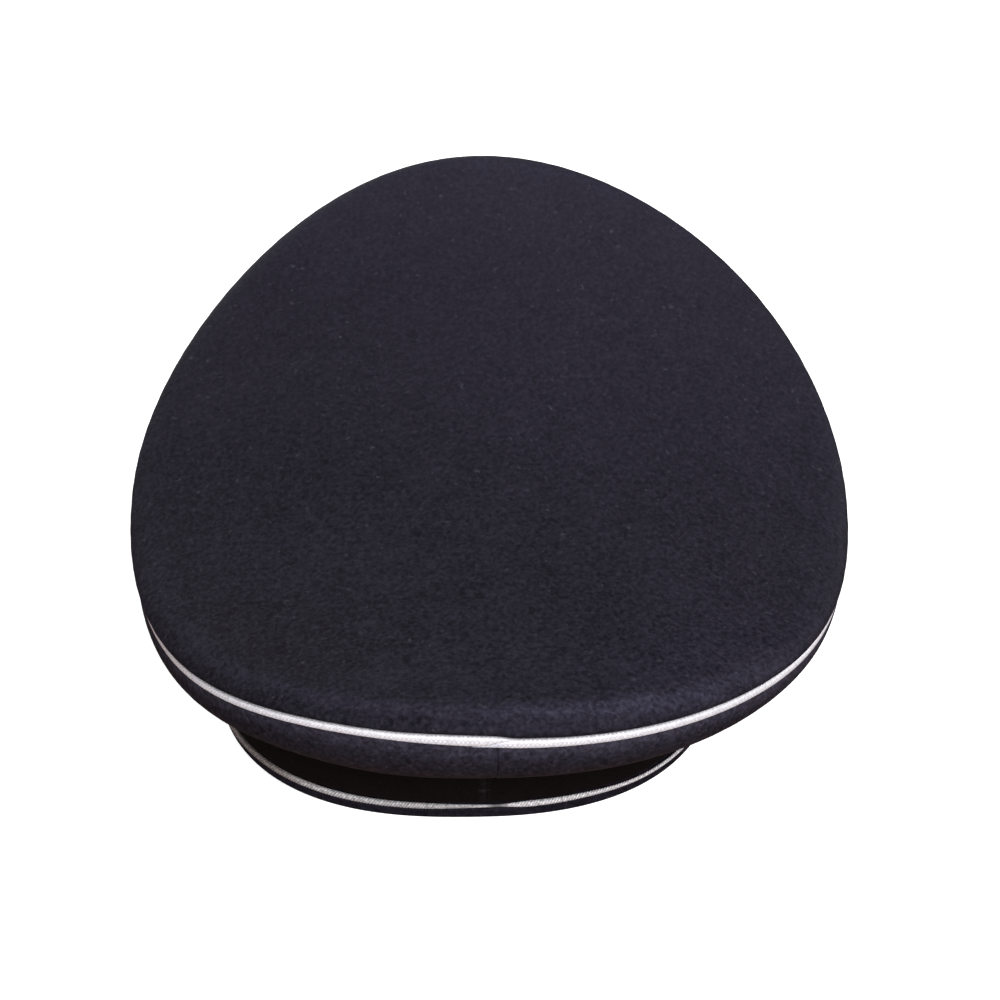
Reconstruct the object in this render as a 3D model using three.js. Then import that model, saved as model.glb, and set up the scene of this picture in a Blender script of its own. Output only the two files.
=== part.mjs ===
// A peaked cap: a taut oval crown, high at the front, on a lower band, corded round its rim and
// round the foot of its band, with a plain peak. It lies as it rests on a table, on the back of
// its band and the tip of its peak.
import * as THREE from "three";

// Driving dimensions, in millimetres, degrees and plain shares. The cap is drawn with the band's
// lower edge at z = 0 and its front towards -Y. Turns round it start at the back and pass +X,
// the wearer's left.
const seamGap = 0.3;
const clothWall = 2;

// The crown's rim, measured along the middle of its cord. The soft crown leans over its band, is
// a little higher on its left, and its seam wavers up and down.
const rim = {
  halfWidth: 126.1,
  backHalf: 128.7,
  frontHalf: 123.7,
  squareness: 2.15,
  frontSquareness: 1.985,
  broadening: -0.039,
  centreX: -8.7,
  centreY: -9.7,
  lowHeight: 48.6,
  lowShare: 0.32,
  frontHeight: 124.7,
  sideways: 0.009,
};
const waver = { height: 1.2, count: 5, turn: 23.7 };

// The top panel rolls over the rim and is drawn taut in a saddle between high front and back.
const roll = { edge: -0.3, swell: 7.3, swellHeight: 5.6, inset: 10, rise: 12.4, reach: 8, dome: 16 };

// The side panel hangs slack at the back and sides and is drawn straight up at the front.
const hang = {
  edge: 0.4,
  belly: 5.4,
  depth: 12.6,
  deepening: 0.63,
  under: 14.1,
  slackBelow: 22,
  tautAbove: 60,
  bow: 2,
};

// The band, measured on the outside of its velvet.
const bandOval = {
  halfWidth: 91,
  backHalf: 88.3,
  frontHalf: 106,
  squareness: 2.46,
  frontSquareness: 2.2,
  broadening: 0,
  centreX: 0,
  centreY: 0,
};
const band = { top: 42, velvet: 1.6, wall: 1.8, footOut: 0.5, heelPress: 0.8 };

// The two cords. A lap is half the length over which the upper cord's ends pass each other.
const rimCord = { radius: 1.6, lap: 7, lapEase: 8, lapRadius: 0.8 };
const footCord = { radius: 1, height: 5, out: 0.2, taper: 14, tipRadius: 0.6 };

// Seams at the back, as distances from the middle of the crown and of the band.
const seam = { side: -2.2, velvet: -7.7, footCord: -10.6, open: 0.4 };

// The peak, a plate bent round the front of the band.
const peakPlate = {
  halfTurn: 68,
  top: 3.7,
  thickness: 2.4,
  reach: 52,
  endReach: 5,
  slope: 38,
  endSlope: 42,
  forward: 0.45,
  fullness: 1.9,
  camber: 1.6,
};

// Fineness of the faceted solids.
const turns = { crown: 64, band: 60, cord: 60, cordEnd: 7, cordSides: 8, peak: 26 };
const steps = { roll: 6, topRings: 5, side: 8, peak: 5 };

const toRadians = THREE.MathUtils.degToRad;
const smooth = THREE.MathUtils.smoothstep;
const mix = THREE.MathUtils.lerp;

const materials = {
  wool: new THREE.MeshStandardMaterial({ color: 0x16171f, roughness: 0.95, metalness: 0 }),
  velvet: new THREE.MeshStandardMaterial({ color: 0x050505, roughness: 1, metalness: 0 }),
  silver: new THREE.MeshStandardMaterial({ color: 0xb9bac0, roughness: 0.45, metalness: 0.7 }),
  patent: new THREE.MeshStandardMaterial({ color: 0x08080a, roughness: 0.15, metalness: 0 }),
};

/** A sine or cosine raised so that a circle becomes a squarer oval. */
function squared(value, squareness) {
  return Math.sign(value) * Math.abs(value) ** (2 / squareness);
}

/** A point of an oval in plan. */
function ovalPoint(oval, turn) {
  const isBack = Math.cos(turn) > 0;
  const squareness = isBack ? oval.squareness : oval.frontSquareness;
  const half = isBack ? oval.backHalf : oval.frontHalf;
  const across = squared(Math.sin(turn), squareness);
  const along = squared(Math.cos(turn), squareness);
  return new THREE.Vector2(
    oval.centreX + oval.halfWidth * across * (1 + oval.broadening * Math.cos(turn)),
    oval.centreY + half * along,
  );
}

/** A point of an oval with its outward direction in plan. */
function ovalStation(oval, turn) {
  const step = 0.02;
  const way = ovalPoint(oval, turn + step).sub(ovalPoint(oval, turn - step)).normalize();
  return { turn, point: ovalPoint(oval, turn), out: new THREE.Vector2(-way.y, way.x) };
}

/** The turn at which an oval's back lies a given distance to the side of its middle. */
function turnAtSide(oval, distance) {
  const share = Math.abs(distance) / oval.halfWidth;
  return Math.sign(distance) * Math.asin(share ** (oval.squareness / 2));
}

/** A section's point, out from a station and up from a height, in space. */
function place(station, height, section) {
  const plan = station.point.clone().addScaledVector(station.out, section.x);
  return new THREE.Vector3(plan.x, plan.y, height + section.y);
}

/** Even shares from 0 to 1. */
function shares(count) {
  return Array.from({ length: count + 1 }, (_, i) => i / count);
}

/** Turns from one angle to another. A whole circle leaves out its last turn. */
function turnsBetween(from, to, count) {
  return shares(count).map((share) => mix(from, to, share));
}

function wholeTurn(count) {
  return turnsBetween(0, 2 * Math.PI, count).slice(0, -1);
}

/** Points of a cubic curve in a section. */
function sectionCurve(controls, count) {
  return new THREE.CubicBezierCurve(...controls).getPoints(count);
}

/** The other face of a wall whose first face is an open row of section points. */
function offsetSection(points, distance) {
  return points.map((point, i) => {
    const before = points[Math.max(i - 1, 0)];
    const after = points[Math.min(i + 1, points.length - 1)];
    const way = after.clone().sub(before).normalize();
    return new THREE.Vector2(point.x - distance * way.y, point.y + distance * way.x);
  });
}

function solidGeometry(points, index) {
  const geometry = new THREE.BufferGeometry().setFromPoints(points);
  geometry.setIndex(index);
  geometry.computeVertexNormals();
  return geometry;
}

/** Two triangles of a four-cornered face. */
function quad(index, a, b, c, d) {
  index.push(a, b, c, a, c, d);
}

/**
 * The skin of a row of closed loops, each running anticlockwise as seen from further along the
 * row. A ring joins its ends. An open row gets a flat cap at both ends.
 */
function skinLoops(loops, isRing) {
  const size = loops[0].length;
  const index = [];
  const rows = isRing ? loops.length : loops.length - 1;
  for (let row = 0; row < rows; row++) {
    const here = row * size;
    const next = ((row + 1) % loops.length) * size;
    for (let i = 0; i < size; i++) {
      const j = (i + 1) % size;
      quad(index, here + i, here + j, next + j, next + i);
    }
  }
  if (!isRing) {
    const last = (loops.length - 1) * size;
    for (let i = 0; i < size / 2 - 1; i++) {
      const j = size - 1 - i;
      quad(index, last + i, last + i + 1, last + j - 1, last + j);
      quad(index, i, j, j - 1, i + 1);
    }
  }
  return solidGeometry(loops.flat(), index);
}

/**
 * The skin of a ring of wall sections that all run from an edge to one middle: up the outer face
 * to the outer pole, and back along the inner face from the inner pole.
 */
function skinDome(outerRows, innerRows, outerPole, innerPole) {
  const size = outerRows[0].length;
  const count = outerRows.length;
  const innerStart = size * count;
  const outerPoleAt = 2 * innerStart;
  const index = [];
  for (let row = 0; row < count; row++) {
    const here = row * size;
    const next = ((row + 1) % count) * size;
    quad(index, innerStart + here, here, next, innerStart + next);
    for (let i = 0; i < size - 1; i++) {
      quad(index, here + i, here + i + 1, next + i + 1, next + i);
      quad(index, innerStart + here + i + 1, innerStart + here + i,
        innerStart + next + i, innerStart + next + i + 1);
    }
    index.push(here + size - 1, outerPoleAt, next + size - 1);
    index.push(innerStart + here + size - 1, innerStart + next + size - 1, outerPoleAt + 1);
  }
  const points = [...outerRows.flat(), ...innerRows.flat(), outerPole, innerPole];
  return solidGeometry(points, index);
}

/** Height of the rim: a saddle, lowest towards the back and highest at the front. */
function rimHeight(plan) {
  const length = rim.backHalf + rim.frontHalf;
  const share = (rim.centreY + rim.backHalf - plan.y) / length;
  const climb = (rim.frontHeight - rim.lowHeight) / (1 - rim.lowShare) ** 2;
  return rim.lowHeight + climb * (share - rim.lowShare) ** 2 + rim.sideways * plan.x;
}

/** The rim's point in space at a turn, along the middle of its wavering cord. */
function cordPoint(turn) {
  const plan = ovalPoint(rim, turn);
  const wave = waver.height * Math.cos(waver.count * (turn - toRadians(waver.turn)));
  return new THREE.Vector3(plan.x, plan.y, rimHeight(plan) + wave);
}

/**
 * A station of the rim with its cord's height, and the height that clears the cord there: more
 * than its radius where the cord climbs.
 */
function rimStation(turn) {
  const step = 0.02;
  const way = cordPoint(turn + step).sub(cordPoint(turn - step));
  const climb = way.z / Math.hypot(way.x, way.y);
  const clear = (rimCord.radius + seamGap) * Math.hypot(1, climb);
  return { ...ovalStation(rim, turn), height: cordPoint(turn).z, clear };
}

/** Height of the taut top panel, which swells above the saddle towards its middle. */
function topHeight(plan) {
  const across = (plan.x - rim.centreX) / (rim.halfWidth - roll.inset);
  const half = plan.y > rim.centreY ? rim.backHalf : rim.frontHalf;
  const along = (plan.y - rim.centreY) / (half - roll.inset);
  return rimHeight(plan) + roll.rise + roll.dome * (1 - across ** 2 - along ** 2);
}

/** Section of the rolled edge, from beside the cord to where the taut top begins. */
function rollSection(station) {
  const heightAt = (out) =>
    topHeight(station.point.clone().addScaledVector(station.out, out)) - station.height;
  const end = new THREE.Vector2(-roll.inset, heightAt(-roll.inset));
  const climb = heightAt(0.5 - roll.inset) - heightAt(-0.5 - roll.inset);
  const edge = new THREE.Vector2(roll.edge, station.clear);
  const swell = new THREE.Vector2(roll.swell, roll.swellHeight);
  const lead = new THREE.Vector2(end.x + roll.reach, end.y + roll.reach * climb);
  return sectionCurve([edge, swell, lead, end], steps.roll);
}

/** The top panel: one wall, from its rolled edge to the middle of the crown. */
function crownTop() {
  const middle = new THREE.Vector2(rim.centreX, rim.centreY);
  const drop = new THREE.Vector3(0, 0, clothWall);
  const outerRows = [];
  const innerRows = [];
  for (const turn of wholeTurn(turns.crown)) {
    const station = rimStation(turn);
    const section = rollSection(station);
    const outer = section.map((point) => place(station, station.height, point));
    const inner = offsetSection(section, clothWall).map((point) =>
      place(station, station.height, point));
    const edgePlan = station.point.clone().addScaledVector(station.out, -roll.inset);
    for (const share of shares(steps.topRings).slice(1, -1)) {
      const plan = edgePlan.clone().lerp(middle, share);
      const point = new THREE.Vector3(plan.x, plan.y, topHeight(plan));
      outer.push(point);
      inner.push(point.clone().sub(drop));
    }
    outerRows.push(outer);
    innerRows.push(inner);
  }
  const pole = new THREE.Vector3(middle.x, middle.y, topHeight(middle));
  return skinDome(outerRows, innerRows, pole, pole.clone().sub(drop));
}

/** Where the side panel lands on the band: the point of the band's edge that faces a turn. */
function bandSeat(turn) {
  const seat = ovalStation(bandOval, turn);
  return seat.point.clone().addScaledVector(seat.out, -band.velvet / 2);
}

/** Wall of the side panel at a turn: a loop that runs up its outer face and down its inner one. */
function sideLoop(turn) {
  const station = rimStation(turn);
  const landing = bandSeat(turn);
  const span = station.point.distanceTo(landing);
  const away = station.point.clone().sub(landing).normalize();
  const straight = { point: station.point, out: away };
  const fall = station.height - band.top;
  const taut = smooth(fall, hang.slackBelow, hang.tautAbove);
  const start = new THREE.Vector2(hang.edge, -station.clear);
  const end = new THREE.Vector2(-span, seamGap - fall);
  const slackFirst = new THREE.Vector2(hang.belly, -hang.depth - hang.deepening * fall);
  const slackLast = new THREE.Vector2(end.x + hang.under, end.y);
  const bow = new THREE.Vector2(hang.bow, 0);
  const tautFirst = start.clone().lerp(end, 1 / 3).add(bow);
  const tautLast = start.clone().lerp(end, 2 / 3).add(bow);
  const controls = [start, slackFirst.lerp(tautFirst, taut), slackLast.lerp(tautLast, taut), end];
  const outer = sectionCurve(controls, steps.side);
  const inner = offsetSection(outer, -clothWall);
  inner[0].set(start.x - clothWall, start.y);
  return [...outer.reverse(), ...inner].map((point) => place(straight, station.height, point));
}

/** One half of the side panel, from seam to seam. */
function crownSide(fromTurn, toTurn) {
  const opening = seam.open / 2 / rim.halfWidth;
  const half = turnsBetween(fromTurn + opening, toTurn - opening, turns.crown / 2);
  return skinLoops(half.map(sideLoop), false);
}

/** A round loop of a cord, square to the way it runs. */
function cordLoop(centre, way, out, radius) {
  const up = way.clone().cross(out).normalize();
  return wholeTurn(turns.cordSides).map((angle) =>
    centre.clone()
      .addScaledVector(out, radius * Math.cos(angle))
      .addScaledVector(up, radius * Math.sin(angle)));
}

/** Turns along a cord that starts and ends at its join, closer together near its ends. */
function cordTurns(from, to, ease) {
  const start = turnsBetween(from, from + ease, turns.cordEnd);
  const middle = turnsBetween(from + ease, to - ease, turns.cord);
  const finish = turnsBetween(to - ease, to, turns.cordEnd);
  return [...start, ...middle.slice(1), ...finish.slice(1)];
}

/** The upper cord. Its ends thin out and pass each other, the left one above the right one. */
function crownPiping() {
  const lap = rimCord.lap / rim.halfWidth;
  const ease = rimCord.lapEase / rim.halfWidth;
  const step = 0.02;
  const lift = rimCord.lapRadius + seamGap / 2;
  const last = 2 * Math.PI;
  const loops = cordTurns(-lap, last + lap, 2 * lap + ease).map((turn) => {
    const overEnd = 1 - smooth(turn, lap, lap + ease);
    const underEnd = smooth(turn, last - lap - ease, last - lap);
    const way = cordPoint(turn + step).sub(cordPoint(turn - step)).normalize();
    const plan = ovalStation(rim, turn);
    const out = new THREE.Vector3(plan.out.x, plan.out.y, 0);
    const centre = cordPoint(turn);
    centre.z += lift * (overEnd - underEnd);
    const radius = mix(rimCord.radius, rimCord.lapRadius, Math.max(overEnd, underEnd));
    return cordLoop(centre, way, out, radius);
  });
  return skinLoops(loops, false);
}

/** The lower cord, between the velvet and the foot. Its ends thin out and meet at the back. */
function bandPiping() {
  const join = turnAtSide(bandOval, seam.footCord);
  const opening = seam.open / 2 / bandOval.halfWidth;
  const ease = footCord.taper / bandOval.halfWidth;
  const from = join + opening;
  const to = join + 2 * Math.PI - opening;
  const loops = cordTurns(from, to, ease).map((turn) => {
    const station = ovalStation(bandOval, turn);
    const centre = place(station, footCord.height, new THREE.Vector2(footCord.out, 0));
    const out = new THREE.Vector3(station.out.x, station.out.y, 0);
    const way = new THREE.Vector3(station.out.y, -station.out.x, 0);
    const full = smooth(turn, from, from + ease) - smooth(turn, to - ease, to);
    return cordLoop(centre, way, out, mix(footCord.tipRadius, footCord.radius, full));
  });
  return skinLoops(loops, false);
}

/** The velvet strip round the band, open at its seam. */
function bandFacing() {
  const join = turnAtSide(bandOval, seam.velvet);
  const opening = seam.open / 2 / bandOval.halfWidth;
  const bottom = footCord.height + footCord.radius + seamGap;
  const loop = [
    new THREE.Vector2(-band.velvet, bottom),
    new THREE.Vector2(0, bottom),
    new THREE.Vector2(0, band.top),
    new THREE.Vector2(-band.velvet, band.top),
  ];
  const around = turnsBetween(join + opening, join + 2 * Math.PI - opening, turns.band);
  const loops = around.map((turn) => {
    const station = ovalStation(bandOval, turn);
    return loop.map((point) => place(station, 0, point));
  });
  return skinLoops(loops, false);
}

/**
 * The band's wall with the wool-covered foot below the lower cord. The weight of the cap presses
 * the heel flat where it meets the table.
 */
function bandBase(tableHeight) {
  const outer = -band.velvet - seamGap;
  const inner = outer - band.wall;
  const footTop = footCord.height - footCord.radius - seamGap;
  const loops = wholeTurn(turns.band).map((turn) => {
    const station = ovalStation(bandOval, turn);
    const section = [
      [inner, 0],
      [band.footOut, 0],
      [band.footOut, footTop],
      [outer, footTop],
      [outer, band.top],
      [inner, band.top],
    ];
    return section.map(([out, height]) => {
      const point = place(station, 0, new THREE.Vector2(out, height));
      point.z = Math.max(point.z, tableHeight(point.y));
      return point;
    });
  });
  return skinLoops(loops, true);
}

/** Wall of the peak at a share of its half turn: a loop under it, round its edge and back. */
function peakLoop(side) {
  const station = ovalStation(bandOval, Math.PI + side * toRadians(peakPlate.halfTurn));
  const full = (1 - Math.abs(side) ** peakPlate.fullness) ** (1 / peakPlate.fullness);
  const reach = mix(peakPlate.endReach, peakPlate.reach, full);
  const slope = toRadians(mix(peakPlate.slope, peakPlate.endSlope, side ** 2));
  const root = station.point.clone().addScaledVector(station.out, band.footOut + seamGap);
  const ahead = new THREE.Vector2(0, -1);
  const out = station.out.clone().lerp(ahead, peakPlate.forward * side ** 2).normalize();
  const top = shares(steps.peak).map((share) => {
    const camber = 4 * peakPlate.camber * share * (1 - share) * full;
    return new THREE.Vector2(
      reach * share * Math.cos(slope),
      camber - reach * share * Math.sin(slope),
    );
  });
  const under = top.map((point) =>
    new THREE.Vector2(point.x, point.y - peakPlate.thickness / Math.cos(slope)));
  return [...under, ...top.reverse()].map((point) =>
    place({ point: root, out }, peakPlate.top, point));
}

function peak() {
  return skinLoops(turnsBetween(-1, 1, turns.peak).map(peakLoop), false);
}

/** The slope of the table under the cap: it leans on its heel until its peak touches. */
function tableSlope(peakGeometry) {
  const at = peakGeometry.getAttribute("position");
  const slopes = Array.from({ length: at.count }, (_, i) =>
    (band.heelPress - at.getZ(i)) / (bandOval.backHalf - at.getY(i)));
  return Math.max(...slopes);
}

const peakGeometry = peak();
const slope = tableSlope(peakGeometry);
const tableHeight = (y) => band.heelPress + slope * (y - bandOval.backHalf);
const backSeam = turnAtSide(rim, seam.side);

const pieces = [
  ["crown_top", crownTop(), materials.wool],
  ["crown_side_left", crownSide(backSeam, Math.PI), materials.wool],
  ["crown_side_right", crownSide(Math.PI, backSeam + 2 * Math.PI), materials.wool],
  ["crown_piping", crownPiping(), materials.silver],
  ["band_base", bandBase(tableHeight), materials.wool],
  ["band", bandFacing(), materials.velvet],
  ["band_piping", bandPiping(), materials.silver],
  ["peak", peakGeometry, materials.patent],
];

const cap = new THREE.Group();
for (const [name, geometry, material] of pieces) {
  const mesh = new THREE.Mesh(geometry, material);
  mesh.name = name;
  cap.add(mesh);
}
cap.rotation.x = -Math.atan(slope);

// The part's origin is on the table, under the middle of its outline.
const box = new THREE.Box3().setFromObject(cap, true);
const middle = box.getCenter(new THREE.Vector3());
cap.position.set(-middle.x, -middle.y, -box.min.z);

const part = new THREE.Group();
part.name = "peaked_cap";
part.add(cap);

export default part;
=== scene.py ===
"""Dresses a peaked cap: wool crown, silver cords, velvet band and patent peak.

The cap is drawn upright, with the lower edge of its band at z = 0 and its front towards -Y. Turns
round it start at the back and pass +X, the wearer's left. Each piece is then laid down as the cap
rests on a table, on the heel of its band and the edge of its peak.
"""

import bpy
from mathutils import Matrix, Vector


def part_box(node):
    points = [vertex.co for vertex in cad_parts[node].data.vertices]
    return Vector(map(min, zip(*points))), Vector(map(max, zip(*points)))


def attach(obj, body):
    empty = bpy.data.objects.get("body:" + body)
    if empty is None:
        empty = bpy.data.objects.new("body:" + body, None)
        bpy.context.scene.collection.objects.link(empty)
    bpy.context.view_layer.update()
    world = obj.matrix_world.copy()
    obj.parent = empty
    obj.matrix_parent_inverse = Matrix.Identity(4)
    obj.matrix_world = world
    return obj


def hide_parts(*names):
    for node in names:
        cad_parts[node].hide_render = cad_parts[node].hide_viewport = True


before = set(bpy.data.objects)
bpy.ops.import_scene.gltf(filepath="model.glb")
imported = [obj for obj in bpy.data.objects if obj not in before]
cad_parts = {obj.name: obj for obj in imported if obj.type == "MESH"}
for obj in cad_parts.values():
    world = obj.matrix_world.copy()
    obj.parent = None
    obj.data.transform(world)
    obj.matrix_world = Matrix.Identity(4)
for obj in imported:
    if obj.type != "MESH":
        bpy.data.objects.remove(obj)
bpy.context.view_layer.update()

from types import SimpleNamespace

import bpy
import numpy as np
from bpy.props import FloatProperty, FloatVectorProperty, PointerProperty
from bpy.types import Operator, Panel, PropertyGroup
from mathutils import Matrix, Vector

bl_info = {
    "name": "Peaked cap",
    "version": (1, 0, 0),
    "blender": (4, 5, 0),
    "location": "View3D > Sidebar > Cap",
    "description": "Dresses a peaked cap in wool, silver cord, velvet and patent",
    "category": "Add Mesh",
}

WHOLE_TURN = 2 * np.pi

# Rows of the top's roll, and the turns round the cord, in degrees, of its tuck over the cord
ROLL_ROWS = 30
TUCK_TURNS = (124.0, 116.0, 108.0)
# Slow waves of the taut top: length across, length along, phase
SLOW_WAVES = ((0.083, 0.21, 0.0), (-0.17, 0.068, 1.3), (0.11, 0.091, 4.1))


# Sizes and colours

def length(name, description, default):
    """A size in metres."""
    return FloatProperty(name=name, description=description, default=default, unit="LENGTH",
                         precision=5)


def angle(name, description, degrees):
    """An angle, given in degrees and kept in radians."""
    return FloatProperty(name=name, description=description, default=float(np.radians(degrees)),
                         unit="ROTATION")


def number(name, description, default):
    """A plain number, such as a share or a count."""
    return FloatProperty(name=name, description=description, default=default, precision=4)


def power(name, description, default):
    """A light's power in watts."""
    return FloatProperty(name=name, description=description, default=default, unit="POWER")


def colour(name, description, default):
    """A linear colour."""
    return FloatVectorProperty(name=name, description=description, default=default, size=3,
                               subtype="COLOR", min=0, max=1)


class CapCrown(PropertyGroup):
    """The crown: its rim along the middle of its cord, its rolled top and its hanging side."""

    half_width: length("Half width", "Half the rim's width", 0.1261)
    back_half: length("Back half", "From the rim's middle to its back", 0.1287)
    front_half: length("Front half", "From the rim's middle to its front", 0.1237)
    squareness: number("Back squareness", "Power of the oval's back half", 2.15)
    front_squareness: number("Front squareness", "Power of the oval's front half", 1.985)
    broadening: number("Broadening", "How much wider the rim is behind its middle", -0.039)
    centre_x: length("Lean", "How far the soft crown leans to its left", -0.0087)
    centre_y: length("Set forward", "Where the rim's middle lies along the cap", -0.0097)
    low_height: length("Low height", "Height of the rim's cord where it is lowest", 0.0486)
    low_share: number("Low share", "Where the rim is lowest, from its back to its front", 0.32)
    front_height: length("Front height", "Height of the rim's cord at the front", 0.1247)
    sideways: number("Sideways", "How much higher the crown is towards its left", 0.009)
    wave: length("Wave", "How far the rim's seam wavers up and down", 0.0012)
    wave_count: number("Waves", "Number of those waves round the rim", 5.0)
    wave_turn: angle("Wave turn", "Where the first of those waves is highest", 23.7)
    wall: length("Cloth", "Thickness of the wool", 0.002)
    clear: length("Seam clearance", "Room between the wool and its cord", 0.00012)
    swell: length("Swell", "How far the rolled edge is drawn out over its cord", 0.0073)
    swell_height: length("Swell height", "Height of the pull on the rolled edge", 0.0056)
    inset: length("Roll width", "How far in from the cord the taut top begins", 0.010)
    rise: length("Roll height", "How far above the cord the taut top begins", 0.0124)
    reach: length("Roll lead", "How far the taut top leads into the roll", 0.008)
    dome: length("Dome", "How far the top swells above its saddle", 0.0160)
    waver: length("Waver", "Height of the slow waves in the taut cloth", 0.00022)
    waver_length: length("Waver length", "Usual length of a slow wave along the side", 0.075)
    pucker: length("Pucker", "Depth of the small gathers beside the seam", 0.00008)
    pucker_length: length("Pucker length", "Usual length of one gather along the seam", 0.0085)
    belly: length("Belly", "How far the slack side swells past its cord", 0.0054)
    depth: length("Hang", "How far the slack side is drawn down from its cord", 0.0126)
    deepening: number("Deepening", "Share of its fall by which a higher side hangs deeper", 0.63)
    sag: length("Sag", "How much lower the side is drawn left of its back seam", 0.0028)
    sag_place: length("Sag place", "Where it is lowest, beside the cap's middle", 0.020)
    sag_width: length("Sag width", "How far from there the sag fades", 0.030)
    under: length("Under turn", "How far the slack side runs level to the band", 0.0141)
    slack_below: length("Slack below", "Fall to the band below which the side is slack", 0.022)
    taut_above: length("Taut above", "Fall to the band above which the side is taut", 0.060)
    bow: length("Bow", "How far the taut side bows out", 0.002)
    seam: length("Side seam", "Where the side's back seam lies beside the middle", -0.0029)
    seam_open: length("Seam opening", "Gap between two turned-in edges", 0.00003)
    seam_round: length("Seam rounding", "Width over which an edge turns in", 0.0011)
    seam_depth: length("Seam depth", "How deep an edge turns in", 0.0004)


class CapBand(PropertyGroup):
    """The band, measured on the outside of its velvet."""

    half_width: length("Half width", "Half the band's width", 0.091)
    back_half: length("Back half", "From the band's middle to its back", 0.0883)
    front_half: length("Front half", "From the band's middle to its front", 0.106)
    squareness: number("Back squareness", "Power of the oval's back half", 2.46)
    front_squareness: number("Front squareness", "Power of the oval's front half", 2.2)
    broadening: number("Broadening", "How much wider the band is behind its middle", 0.0)
    centre_x: length("Middle across", "The band's middle, across the cap", 0.0)
    centre_y: length("Middle along", "The band's middle, along the cap", 0.0)
    top: length("Height", "Height of the band", 0.042)
    velvet: length("Velvet", "Thickness of the velvet", 0.0016)
    wall: length("Wall", "Thickness of the band's wall", 0.0018)
    gap: length("Gap", "Room between the velvet and the wall", 0.0003)
    heel_press: length("Heel press", "How far the heel is pressed flat", 0.0003)
    foot_out: length("Foot out", "How far the folded foot stands out past the velvet", 0.0005)
    foot_round: length("Foot rounding", "Radius of the foot's folded edge", 0.0011)
    seam: length("Velvet seam", "Where the velvet's seam lies beside the middle", -0.0077)
    seam_open: length("Seam opening", "Gap between the velvet's ends", 0.00003)


class CapCords(PropertyGroup):
    """The two silver cords."""

    rim_radius: length("Rim cord radius", "Radius of the cord round the crown", 0.0016)
    rim_fill: number("Rim cord fill", "Power of the rim cord's section, 2 for a round one", 3.2)
    lap: length("Lap", "Half the length over which the rim cord's ends pass", 0.0078)
    lap_middle: length("Lap middle", "Where the lap lies beside the rim's middle", -0.0030)
    lap_rise: number("Lap rise", "How far the lap lifts the cord's upper edge, in radii", 0.58)
    lap_sag: number("Lap sag", "How far the right end sags beside the lap, in radii", 0.22)
    lap_gap: length("Lap gap", "Room between the ends at the lap", 0.0003)
    foot_radius: length("Foot cord radius", "Radius of the cord round the foot", 0.0011)
    side_radius: length("Right radius", "Radius of that cord at the cap's right", 0.00064)
    sink: length("Sink", "How far that cord sinks at the right", 0.0009)
    foot_height: length("Foot cord height", "Height of the cord round the foot", 0.0056)
    foot_out: length("Foot cord out", "How far that cord's middle stands out of the velvet", 0.0003)
    join: length("Join", "Where the foot cord's ends meet beside the middle", -0.0110)
    join_open: length("Join opening", "Gap between the foot cord's ends", 0.00002)
    left_taper: length("Left taper", "Over which the foot cord's left end thins out", 0.030)
    right_taper: length("Right taper", "Over which its right end thins out", 0.0115)
    tip_radius: length("Tip radius", "Radius of the foot cord's thinned ends", 0.0005)
    ply_pitch: length("Ply pitch", "Length of one whole twist of the foot cord", 0.0032)
    ply_relief: length("Ply relief", "How far the foot cord's plies stand out", 0.00016)


class CapPeak(PropertyGroup):
    """The peak, a plate bent round the front of the band."""

    half_turn: angle("Half turn", "Half the turn that the peak covers", 68)
    top: length("Root height", "Height of the peak's upper face at the band", 0.0037)
    thickness: length("Thickness", "Thickness of the plate", 0.0024)
    reach: length("Reach", "Length of the peak at its middle", 0.052)
    end_reach: length("End reach", "Length of the peak at its ends", 0.005)
    slope: angle("Slope", "Slope of the peak at its middle", 38)
    end_slope: angle("End slope", "Slope of the peak at its ends", 42)
    forward: number("Forward", "How far the ends turn to the front", 0.45)
    fullness: number("Fullness", "Power of the peak's outline", 1.9)
    camber: length("Camber", "How far the peak swells along its slope", 0.0016)
    gap: length("Gap", "Room between the peak and the band", 0.0008)
    edge_round: length("Edge rounding", "How far the plate's edge is rounded", 0.0013)


class CapFinish(PropertyGroup):
    """Colours and grain of the cap's stuffs."""

    wool_deep: colour("Wool, deep", "Wool between its fibres", (0.0066, 0.0057, 0.0085))
    wool_light: colour("Wool, light", "Wool on its fibres", (0.0293, 0.0267, 0.0390))
    wool_fleck: colour("Wool fleck", "Paler fibres in the wool", (0.0550, 0.0530, 0.0660))
    wool_fibre: length("Wool fibre", "Size of the wool's grain", 0.0016)
    velvet_deep: colour("Velvet, deep", "Velvet between its pile", (0.0034, 0.0021, 0.0022))
    velvet_light: colour("Velvet, light", "Velvet on its pile", (0.0100, 0.0064, 0.0068))
    velvet_pile: length("Velvet pile", "Size of the velvet's pile", 0.0006)
    silver_deep: colour("Silver, deep", "Woven cord between its threads", (0.62, 0.61, 0.66))
    twist_deep: colour("Twist, deep", "Twisted cord between its plies", (0.32, 0.29, 0.29))
    silver_light: colour("Silver, light", "Cord on its threads", (0.97, 0.96, 1.0))
    patent: colour("Patent", "The peak's black gloss", (0.006, 0.006, 0.007))
    # Painted shade: the foot's wool is a darker copy of the crown's wool
    foot_painted_shade: number("Foot shade", "Depth of the wool on the foot, beside the crown's", 0.75)


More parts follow.
